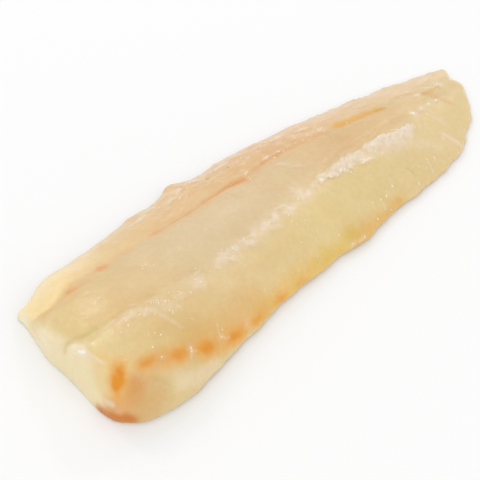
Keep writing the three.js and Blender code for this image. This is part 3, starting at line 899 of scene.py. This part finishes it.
def relief(s, masks):
    """How far each point rises along its normal, in millimetres."""
    x, _, z = s.points.T
    lift = s.upper * sum(HEIGHTS[name] * NOISE[name](s.points) for name in ("swell", "ripple", "dimple"))
    count = s.across / FLAKE_STEP + FLAKES["wander"] * s.wander
    saw = count - np.floor(count)
    step = saw * (1 - smooth(saw, *FLAKES["drop"])) - FLAKES["level"]
    lift += HEIGHTS["flakes"] * s.calm * step * smooth(NOISE["flakes"](s.points), *FLAKES["show"])
    lift += HEIGHTS["fibre"] * s.upper * NOISE["fibre"](np.stack([s.along, s.across, z], 1))

    groove_off, _ = line_distance(s.plan, GROOVE_LINE)
    furrows = ((s.solid_groove, GROOVE_FILL), (groove_off, GROOVE_CUT), (s.past_mid, MID_CUT))
    for off, (half, height, vary) in furrows:
        lift += s.upper * s.body * bell(off, half) * (height + vary * s.wobble_wide)
    for line, half, height in RIDGES:
        off, along = line_distance(s.points, line)
        lift += height * ends(along, *RIDGE_ENDS) * bell(off, half)

    streaks = NOISE["streaks"](np.stack([s.across_near, s.along_near, z], 1))
    crumple = 1 - 2 * np.abs(NOISE["crumple"](s.points))
    sheet = HEIGHTS["sheet"] + HEIGHTS["streaks"] * streaks + HEIGHTS["crumple"] * crumple
    lift += masks["sheet"] * sheet + HEIGHTS["sheet_edge"] * masks["edge"]
    lift += HEIGHTS["patches"] * masks["patches"] * (1 + s.wobble) + HEIGHTS["seams"] * s.upper * s.seams
    lift += HEIGHTS["rough"] * masks["rough"] * NOISE["rough"](s.points)

    above = 1 - s.under
    lift += HEIGHTS["wobble"] * s.wobble * above
    rim = smooth(s.share, *SHARES["torn_rim"]) * past(x, "torn_rim") * above
    return lift + rim * (HEIGHTS["rim"] * NOISE["rim"](s.points) + HEIGHTS["rim_wobble"] * s.wobble)


def shape(piece):
    """Moves the points for the fine relief and stores the masks for the material."""
    mesh = piece.data
    s = Surface(mesh)
    masks = region_masks(s) | mark_masks(s) | zone_masks(s)
    masks["dashes"] = dash_mask(s, masks)
    moved = s.points + s.normals * relief(s, masks)[:, None]
    moved[:, 2] = np.maximum(moved[:, 2], 0)
    write_points(mesh, moved)
    for name, values in masks.items():
        attribute = mesh.attributes.new(name, "FLOAT", "POINT")
        attribute.data.foreach_set("value", values.astype(np.float32))
    flow = np.stack([s.along, s.across, s.points[:, 2]], 1).astype(np.float32)
    mesh.attributes.new("flow", "FLOAT_VECTOR", "POINT").data.foreach_set("vector", flow.ravel())
    mesh.polygons.foreach_set("use_smooth", np.ones(len(mesh.polygons), bool))


class Shreds:
    """Closed threads and crumbs of tissue, half sunk in the upper face of a piece."""

    ABOVE = 60  # a height over the whole fillet, in millimetres
    SIDES = 6
    STEPS = 9
    BEND = (0.12, 0.05)  # bend and wave of a thread, against its half length
    WAVE = 4
    THIN_ENDS = 0.85
    FLAT = 0.4
    UNEVEN = (0.7, 1.2)
    RIM = 9
    RIM_UNEVEN = (0.5, 1.3)
    # Share of a crumb's outline and height, from its foot up.
    DOME = [(1, -0.3), (0.97, 0), (0.82, 0.2), (0.55, 0.33), (0.22, 0.4)]

    def __init__(self, piece, seed):
        self.tree = BVHTree.FromObject(piece, bpy.context.evaluated_depsgraph_get())
        self.rng = np.random.default_rng(seed)
        self.points, self.faces = [], []

    def foot(self, place):
        """The surface's point and normal under a place in plan."""
        above = Vector((*(PLAN_ORIGIN + place), self.ABOVE)) * MM
        point, normal, _, _ = self.tree.ray_cast(above, Vector((0, 0, -1)))
        return (np.array(point) / MM, np.array(normal)) if point is not None else None

    def close(self, first, sides):
        """Faces between the rings of points from the first one on, and over both ends."""
        rings = (len(self.points) - first) // sides
        for ring in range(rings - 1):
            start = first + ring * sides
            for s in range(sides):
                a, b = start + s, start + (s + 1) % sides
                self.faces.append((a, b, b + sides, a + sides))
        last = first + (rings - 1) * sides
        self.faces.append(tuple(first + s for s in reversed(range(sides))))
        self.faces.append(tuple(last + s for s in range(sides)))

    def thread(self, place, turn, length, half):
        """A bent thread centred on a place in plan, thin at its ends, by half its length and width."""
        t = np.linspace(-1, 1, self.STEPS)
        bend, wave = self.rng.normal(0, self.BEND) * length
        curve = bend * (t * t - 0.5) + wave * np.sin(self.WAVE * t)
        feet = [self.foot(np.add(place, turned(u, v, -turn))) for u, v in zip(length * t, curve)]
        if None in feet:
            return
        first = len(self.points)
        for i, (point, normal) in enumerate(feet):
            ahead = feet[min(i + 1, len(feet) - 1)][0] - feet[max(i - 1, 0)][0]
            side = np.cross(normal, ahead)
            side /= np.linalg.norm(side)
            width = half * (1 - self.THIN_ENDS * t[i] ** 2) * self.rng.uniform(*self.UNEVEN)
            for a in np.arange(self.SIDES) * 2 * math.pi / self.SIDES:
                out = side * math.cos(a) + normal * self.FLAT * math.sin(a)
                self.points.append(point + width * out)
        self.close(first, self.SIDES)

    def crumb(self, place, turn, size, stretch):
        """A low uneven dome on a place in plan, longer one way."""
        foot = self.foot(place)
        reach = size * self.rng.uniform(*self.RIM_UNEVEN, self.RIM)
        reach = 0.5 * reach + 0.25 * (np.roll(reach, 1) + np.roll(reach, -1))
        if foot is None:
            return
        point, normal = foot
        side = np.cross(normal, (math.cos(turn), math.sin(turn), 0))
        side /= np.linalg.norm(side)
        ahead = np.cross(side, normal) * stretch
        first = len(self.points)
        for share, height in self.DOME:
            for a, r in zip(np.arange(self.RIM) * 2 * math.pi / self.RIM, share * reach):
                out = r * (math.cos(a) * ahead + math.sin(a) * side)
                self.points.append(point + out + normal * height * size)
        self.close(first, self.RIM)

    def piece(self, name):
        mesh = bpy.data.meshes.new(name)
        mesh.from_pydata((np.array(self.points) * MM).tolist(), [], self.faces)
        mesh.polygons.foreach_set("use_smooth", np.ones(len(mesh.polygons), bool))
        mesh.update()
        made = bpy.data.objects.new(name, mesh)
        bpy.context.scene.collection.objects.link(made)
        return made


def scattered(rng, line, spread, amount):
    """Places in plan strewn along a line."""
    line = np.array(line, float)
    run = np.concatenate([[0], np.cumsum(np.linalg.norm(np.diff(line, axis=0), axis=1))])
    at = np.linspace(0, run[-1], max(4, int(run[-1] / SCATTER_STEP) + 1))
    path = np.stack([np.interp(at, run, c) for c in line.T], 1)
    for _ in range(amount):
        yield path[rng.integers(len(path))] + rng.normal(0, spread, 2)


def make_shreds(piece):
    """White tissue: threads and crumbs on the patches and the torn sheet, and crumbs along the lines; the
    crumbs' bright cream also stands in for wet glints.
    """
    shreds = Shreds(piece, SHRED_SEED)
    rng = shreds.rng
    for x, y, length, width, strength, turn in PATCHES:
        angle = math.radians(turn)
        for _ in range(int(strength * (1 + min(width, PATCH_WIDTH_MOST)))):
            across, along = rng.normal(0, PATCH_SPREAD, 2) * (width, length)
            place = np.add((x, y), turned(along, across, -angle))
            leaning = angle + rng.normal(0, LEAN_SPREAD["patch"])
            shreds.crumb(place, leaning, rng.uniform(*CRUMB["patch"]), rng.uniform(*CRUMB["stretch"]))
    for place, size in LUMPS:
        leaning = SEPTA_TURN + rng.normal(0, LEAN_SPREAD["lump"])
        shreds.crumb(place, leaning, size, rng.uniform(*CRUMB["lump_stretch"]))
    for _ in range(SHEET_SHREDS):
        across = rng.uniform(*SHEET_ACROSS)
        top = np.interp(across, *np.array(SHEET_TOP).T)
        low = np.interp(across, *np.array(SHEET_LOW).T)
        share = abs(rng.normal(0, SHEET_SPREAD))
        if across < SHEET_CRUMPLED[0]:
            share = 1 - share
        place = turned(top + (low - top) * share, -across, -SEPTA_TURN)
        leaning = SEPTA_TURN + rng.normal(0, LEAN_SPREAD["sheet"])
        length = rng.uniform(*THREAD["sheet_length"])
        shreds.thread(place, leaning, length, rng.uniform(*THREAD["sheet_width"]))
    for line, spread, amount in THREADS:
        for place in scattered(rng, line, spread, amount):
            leaning = rng.normal(THREAD_LEAN, LEAN_SPREAD["thread"])
            shreds.thread(place, leaning, rng.uniform(*THREAD["length"]), rng.uniform(*THREAD["width"]))
    for line, spread, amount in CRUMBS:
        for place in scattered(rng, line, spread, amount):
            leaning = SEPTA_TURN + rng.normal(0, LEAN_SPREAD["crumb"])
            shreds.crumb(place, leaning, rng.uniform(*CRUMB["size"]), rng.uniform(*CRUMB["stretch"]))
    return shreds.piece("septum_shreds")


class Tree:
    """Short calls for a material's nodes."""

    def __init__(self, name):
        self.material = bpy.data.materials.new(name)
        self.material.use_nodes = True
        self.tree = self.material.node_tree
        self.shader = self.tree.nodes["Principled BSDF"]

    def node(self, kind, inputs=(), **settings):
        made = self.tree.nodes.new("ShaderNode" + kind)
        for key, value in settings.items():
            setattr(made, key, value)
        for key, value in dict(inputs).items():
            self.feed(made.inputs[key], value)
        return made

    def feed(self, socket, value):
        if isinstance(value, bpy.types.NodeSocket):
            self.tree.links.new(value, socket)
        else:
            socket.default_value = value

    def finish(self, values):
        """Sets or links the shader's inputs."""
        for name, value in values.items():
            self.feed(self.shader.inputs[name], value)

    def mask(self, name):
        return self.node("Attribute", attribute_name=name).outputs["Fac"]

    def math(self, operation, a, b=0):
        made = self.node("Math", operation=operation)
        self.feed(made.inputs[0], a)
        self.feed(made.inputs[1], b)
        return made.outputs[0]

    def range(self, value, low, high, to_low=0, to_high=1):
        made = self.node("MapRange", interpolation_type="SMOOTHSTEP")
        given = (value, low, high, to_low, to_high)
        for key, part in zip(("Value", "From Min", "From Max", "To Min", "To Max"), given):
            self.feed(made.inputs[key], part)
        return made.outputs[0]

    def noise(self, vector, scale, detail=2, rough=0.5):
        settings = {"Vector": vector, "Scale": scale, "Detail": detail, "Roughness": rough}
        return self.node("TexNoise", settings).outputs["Fac"]

    def stretched(self, vector, scale, turn):
        flat = self.node("Mapping", {"Vector": vector, "Rotation": (0, 0, turn)}).outputs[0]
        return self.node("Mapping", {"Vector": flat, "Scale": scale}).outputs[0]

    def bump(self, height, strength, distance, **under):
        settings = {"Height": height, "Strength": strength, "Distance": distance, **under}
        return self.node("Bump", settings).outputs[0]

    def ramp(self, value, stops):
        made = self.node("ValToRGB", {"Fac": value})
        elements = made.color_ramp.elements
        while len(elements) < len(stops):
            elements.new(0.5)
        for element, (x, colour) in zip(elements, stops):
            element.position = (x - CUT_X) / (TAIL_X - CUT_X)
            element.color = linear(colour)
        return made.outputs["Color"]

    def mix(self, factor, a, b, blend="MIX"):
        made = self.node("Mix", data_type="RGBA", blend_type=blend)
        self.feed(made.inputs[0], factor)
        self.feed(made.inputs[6], linear(a) if isinstance(a, str) else a)
        self.feed(made.inputs[7], linear(b) if isinstance(b, str) else b)
        return made.outputs[2]


# Fine patterns in the flesh: field, stretch along its axes, turn, scale, detail, roughness.
PATTERNS = {
    "tatters": ("place", (0.5, 1, 0.5), -SEPTA_TURN, 620, 4, 0.65),
    "mottle": ("place", (1, 1, 1), 0, 330, 3, 0.6),
    "clumps": ("place", (0.6, 1, 1), 0, 230, 4, 0.65),
    "grain": ("place", (1, 1, 1), 0, 900, 1, 0.4),
    "dash": ("flow", (0.25, 1.7, 0.3), 0, 1, 2, 0.5),
    "fibre": ("flow", (0.16, 1.3, 0.5), 0, 1, 3, 0.6),
}
# What the value of a pattern or mask turns into: value from and to, result from and to, or else 0 to 1.
MOTTLES = [("mottle_light", (0.5, 0.7, 0, 0.6)), ("mottle_dark", (0.5, 0.3, 0, 0.6))]
FIBRES_SHOW = (0.5, 0.8, 0, 0.25)
BLOTCHES_SHOW = (0.35, 0.65)
DASHES_SHOW = (0.66, 0.8, 0, 0.45)
CHEVRONS_SHOW = (0.7, 1, 0, 0.45)
MOTTLE_TO_ROUGHNESS = (0.3, 0.7, 0.28, 0.42)
ORANGE_TO_SUBSURFACE = (0.3, 1, 0.6, 0.25)
TISSUE_TO_COLOUR = (0.3, 0.6)
TISSUE_TO_ROUGHNESS = (0.3, 0.7, 0.3, 0.5)
MASK_FOOT = (0, 0.15)  # over which a torn mask sets in, so that it leaves no scraps outside
TISSUE_GRAIN = (400, 3, 0.6)  # scale, detail, roughness
# Uneven tint of the flesh: size of the blotches in millimetres, detail, what they leave of red, green, blue.
BLOTCHES = [
    (26, 2, (0.97, 0.965, 0.93, 1)),
    (10, 2, (0.985, 0.965, 0.95, 1)),
    (3, 3, (0.982, 0.97, 0.952, 1)),
    (0.9, 2, (0.98, 0.973, 0.96, 1)),
]
BLOTCHES_OFF_CUT = 0.6  # how much of the blotches is gone on the cut end
PAINTED_SHADE_TINT = (0.93, 0.9, 0.83, 1)  # what the painted shade leaves of red, green, blue
SHADE_RAGGED = 0.5
SHADE_FULL = 0.8
SKINNED_MOST = 0.6
LATERAL_MOST = 0.5
# Layers of colour over the flesh, some of them painted highlights and shade, lowest first: mask and colour,
# most, how ragged.
LAYERS = [
    # The facet: pale flesh, painted lighter still as a highlight where it faces the light from behind.
    ("facet", 0.9, 0),
    ("cut", 0.9, 0),
    ("wall", 0.8, 0),
    ("wall_light", 0.7, 0.3),
    ("end_yellow", 0.6, 0),
    # Painted highlight on the crest at the cut end.
    ("painted_end_highlight", 0.5, 0.2),
    ("far_light", 0.5, 0.2),
    ("rim_yellow", 0.7, 0.1),
    ("rim", 0.7, 0.2),
    ("olive", 0.35, 0.1),
    ("tan", 0.62, 0.1),
    ("oval", 0.75, 0),
    ("corner", 0.8, 0),
    # Painted shade in the crease between the lobes.
    ("crease_shade", 0.5, 0.2),
    # Painted shade in the valley of the fold.
    ("painted_fold_shade", 0.4, 0.4),
    ("streak", 0.85, 0.5),
    ("streak_end", 0.6, 0),
    ("tip", 0.85, 0),
    ("spot_band", 0.5, 0.1),
    ("halo", 0.65, 0),
    ("orange", 1, 0.15),
    ("rust", 0.95, 0.25),
    ("peach", 0.6, 0.25),
    ("groove", 0.75, 0.3),
]
# White tissue seen in the flesh, and painted highlights: mask, colour, most, how ragged, where it sets in
# and is full.
WHITES = [
    ("pale_end", "membrane", 0.6, 0.2, 0.1, 0.9),
    # White sheets, with a few painted highlights drawn as strokes.
    ("septa_and_glints", "membrane", 0.65, 0.6, 0.1, 0.9),
    # Painted glint on the lip at the cut end.
    ("painted_lip_glint", "painted_lip_glint", 0.9, 0.3, 0.1, 0.8),
    ("sheet", "sheet", 0.9, 0.35, 0, 0.9),
    # Bright lumps on the sheet: white tissue with painted highlights.
    ("edge", "shred", 0.8, 0.6, 0.1, 0.9),
    ("haze", "haze", 0.38, 0.3, 0, 1),
    ("patches", "membrane", 0.8, 0.9, 0.1, 1),
]
# Values set on the shaders as they are. Lengths are in metres.
FLESH_FINISH = {
    "IOR": 1.38,
    "Subsurface Radius": (1, 0.62, 0.32),
    "Subsurface Scale": 0.0035,
    "Coat Weight": 0.5,
    "Coat Roughness": 0.08,
}
TISSUE_FINISH = {"Specular IOR Level": 0.3, "Coat Weight": 0.15, "Coat Roughness": 0.1}
FLOOR_FINISH = {"Base Color": (0.93, 0.93, 0.93, 1), "Roughness": 0.9, "Specular IOR Level": 0}
SOFT_BUMP = (0.3, 0.0003)
WET_BUMP = (0.5, 0.0005)


class Flesh(Tree):
    """Nodes of the wet flesh, with its fine patterns."""

    def __init__(self):
        super().__init__("cod_flesh")
        self.place = self.node("TexCoord").outputs["Object"]
        self.flow = self.node("Attribute", attribute_name="flow").outputs["Vector"]
        fields = {"place": self.place, "flow": self.flow}
        self.patterns = {}
        for name, (field, stretch, turn, *look) in PATTERNS.items():
            self.patterns[name] = self.noise(self.stretched(fields[field], stretch, turn), *look)

    def torn(self, name, pattern, most, amount, low=0, high=1):
        """A mask whose edge is torn by a pattern."""
        mask = self.mask(name)
        if not amount:
            return self.range(mask, low, high, 0, most)
        noise = self.math("SUBTRACT", self.patterns[pattern], 0.5)
        ragged = self.math("ADD", mask, self.math("MULTIPLY", noise, amount))
        return self.math("MULTIPLY", self.range(ragged, low, high, 0, most), self.range(mask, *MASK_FOOT))

    def ground(self):
        """Colour by the place along the fillet, with a mottled strip and pale fibres."""
        along = self.node("SeparateXYZ", {"Vector": self.place}).outputs["X"]
        along = self.math("SUBTRACT", along, CUT_X * MM)
        along = self.math("MULTIPLY", along, 1 / ((TAIL_X - CUT_X) * MM))
        bands = {name: self.ramp(along, stops) for name, stops in BANDS.items()}
        colour = self.mix(self.mask("near"), bands["far"], bands["near"])
        colour = self.mix(self.mask("strip"), colour, bands["strip"])
        for name, show in MOTTLES:
            clumps = self.range(self.patterns["clumps"], *show)
            colour = self.mix(self.math("MULTIPLY", clumps, self.mask("rough")), colour, name)
        return self.mix(self.range(self.patterns["fibre"], *FIBRES_SHOW), colour, "pale")

    def tinted(self, colour):
        """The layers of colour, and the uneven tint over them."""
        for name, most, amount in LAYERS:
            colour = self.mix(self.torn(name, "mottle", most, amount), colour, name)
        plain = self.math("SUBTRACT", 1, self.math("MULTIPLY", self.mask("cut"), BLOTCHES_OFF_CUT))
        for size, detail, shade in BLOTCHES:
            blotches = self.range(self.noise(self.place, 1 / (size * MM), detail), *BLOTCHES_SHOW)
            colour = self.mix(self.math("MULTIPLY", blotches, plain), colour, shade, "MULTIPLY")
        return colour

    def marked(self, colour):
        """Pale dashes, painted shade beside white tissue and along furrows, white tissue and dark specks."""
        dashes = self.range(self.patterns["dash"], *DASHES_SHOW)
        colour = self.mix(self.math("MULTIPLY", dashes, self.mask("dashes")), colour, "membrane")
        # Painted shade beside white tissue and along the furrows.
        painted_shade = self.torn("painted_shade", "tatters", 1, SHADE_RAGGED, 0, SHADE_FULL)
        colour = self.mix(painted_shade, colour, PAINTED_SHADE_TINT, "MULTIPLY")
        for name, tint, most, amount, low, high in WHITES:
            colour = self.mix(self.torn(name, "tatters", most, amount, low, high), colour, tint)
        return self.mix(self.mask("dark"), colour, "dark")

    def skinned(self, colour):
        """The underside: paler, with the lateral line and chevron seams between the flakes."""
        colour = self.mix(self.math("MULTIPLY", self.mask("under"), SKINNED_MOST), colour, "skinned")
        colour = self.mix(self.math("MULTIPLY", self.mask("lateral"), LATERAL_MOST), colour, "lateral")
        across = self.node("SeparateXYZ", {"Vector": self.flow}).outputs["Y"]
        flakes = self.math("MULTIPLY", across, 1 / FLAKE_STEP)
        seams = self.math("FRACT", self.math("ADD", flakes, self.patterns["clumps"]))
        seams = self.math("MULTIPLY", self.range(seams, *CHEVRONS_SHOW), self.mask("under"))
        return self.mix(seams, colour, "seam")


def flesh_material():
    t = Flesh()
    soft = t.bump(t.patterns["fibre"], *SOFT_BUMP)
    t.finish(FLESH_FINISH)
    t.finish({
        "Base Color": t.skinned(t.marked(t.tinted(t.ground()))),
        "Roughness": t.range(t.patterns["mottle"], *MOTTLE_TO_ROUGHNESS),
        "Subsurface Weight": t.range(t.mask("orange"), *ORANGE_TO_SUBSURFACE),
        "Normal": soft,
        "Coat Normal": t.bump(t.patterns["grain"], *WET_BUMP, Normal=soft),
    })
    return t.material


# Tissue of the threads and crumbs; the crumbs' bright cream also stands in for wet glints.
def tissue_material():
    t = Tree("white_tissue")
    grain = t.noise(t.node("TexCoord").outputs["Object"], *TISSUE_GRAIN)
    t.finish(TISSUE_FINISH)
    t.finish({
        "Base Color": t.mix(t.range(grain, *TISSUE_TO_COLOUR), "crumb", "crumb_light"),
        "Roughness": t.range(grain, *TISSUE_TO_ROUGHNESS),
    })
    return t.material


# Soft lights and small ones for the glints: name, place and size in metres, power.
LIGHTS = [
    ("back", (0.4, 1.4, 1.3), 1, 3.5),
    ("front", (-1.5, -0.5, 1.1), 0.9, 4),
    ("near", (0.4, -1.6, 1), 1, 4),
    ("glint_right", (1.5, 0.7, 1.12), 0.14, 1.6),
    ("glint_back", (0.3, 1.5, 1.28), 0.14, 1.6),
    ("glint_above", (0.3, 0.2, 2), 0.14, 1.6),
]
SKY = 0.8
FLOOR_SIZE = 6
# The camera looks at the target, in millimetres. Angles are in degrees, the distance in metres.
CAMERA = {
    "target": (-38.34, -5.57, 8.83),
    "azimuth": -46,
    "elevation": 46,
    "distance": 0.4915,
    "half_view": 13,
    "sensor": 36,
    "clip": (0.01, 20),
}


def set_stage():
    """A plain pale floor, a soft sky and the lights."""
    bpy.ops.mesh.primitive_plane_add(size=FLOOR_SIZE, location=(0, 0, 0))
    floor = bpy.context.object
    floor.name = "floor"
    t = Tree("pale_floor")
    t.finish(FLOOR_FINISH)
    floor.data.materials.append(t.material)

    world = bpy.data.worlds.new("soft_sky")
    world.use_nodes = True
    background = world.node_tree.nodes["Background"]
    background.inputs["Color"].default_value = (1, 1, 1, 1)
    background.inputs["Strength"].default_value = SKY
    bpy.context.scene.world = world
    for name, place, size, power in LIGHTS:
        lamp = bpy.data.lights.new(name, "AREA")
        lamp.size = size
        lamp.energy = power
        made = bpy.data.objects.new(name, lamp)
        made.location = place
        made.rotation_euler = (-Vector(place)).to_track_quat("-Z", "Y").to_euler()
        bpy.context.scene.collection.objects.link(made)


def set_camera():
    azimuth = math.radians(CAMERA["azimuth"])
    elevation = math.radians(CAMERA["elevation"])
    back = Vector((
        math.sin(azimuth) * math.cos(elevation),
        -math.cos(azimuth) * math.cos(elevation),
        math.sin(elevation),
    ))
    camera = bpy.data.cameras.new("camera")
    camera.sensor_width = CAMERA["sensor"]
    camera.lens = CAMERA["sensor"] / 2 / math.tan(math.radians(CAMERA["half_view"]))
    camera.clip_start, camera.clip_end = CAMERA["clip"]
    made = bpy.data.objects.new("camera", camera)
    made.location = Vector(CAMERA["target"]) * MM + back * CAMERA["distance"]
    made.rotation_mode = "QUATERNION"
    made.rotation_quaternion = (-back).to_track_quat("-Z", "Y")
    bpy.context.scene.collection.objects.link(made)
    bpy.context.scene.camera = made


fillet = dense_copy(frame["nodes"][NODE])
shape(fillet)
fillet.data.materials.append(flesh_material())
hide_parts(NODE)
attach(fillet, "root")

shreds = make_shreds(fillet)
shreds.data.materials.append(tissue_material())
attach(shreds, "root")

set_stage()
set_camera()
bpy.context.scene.view_settings.view_transform = "Standard"
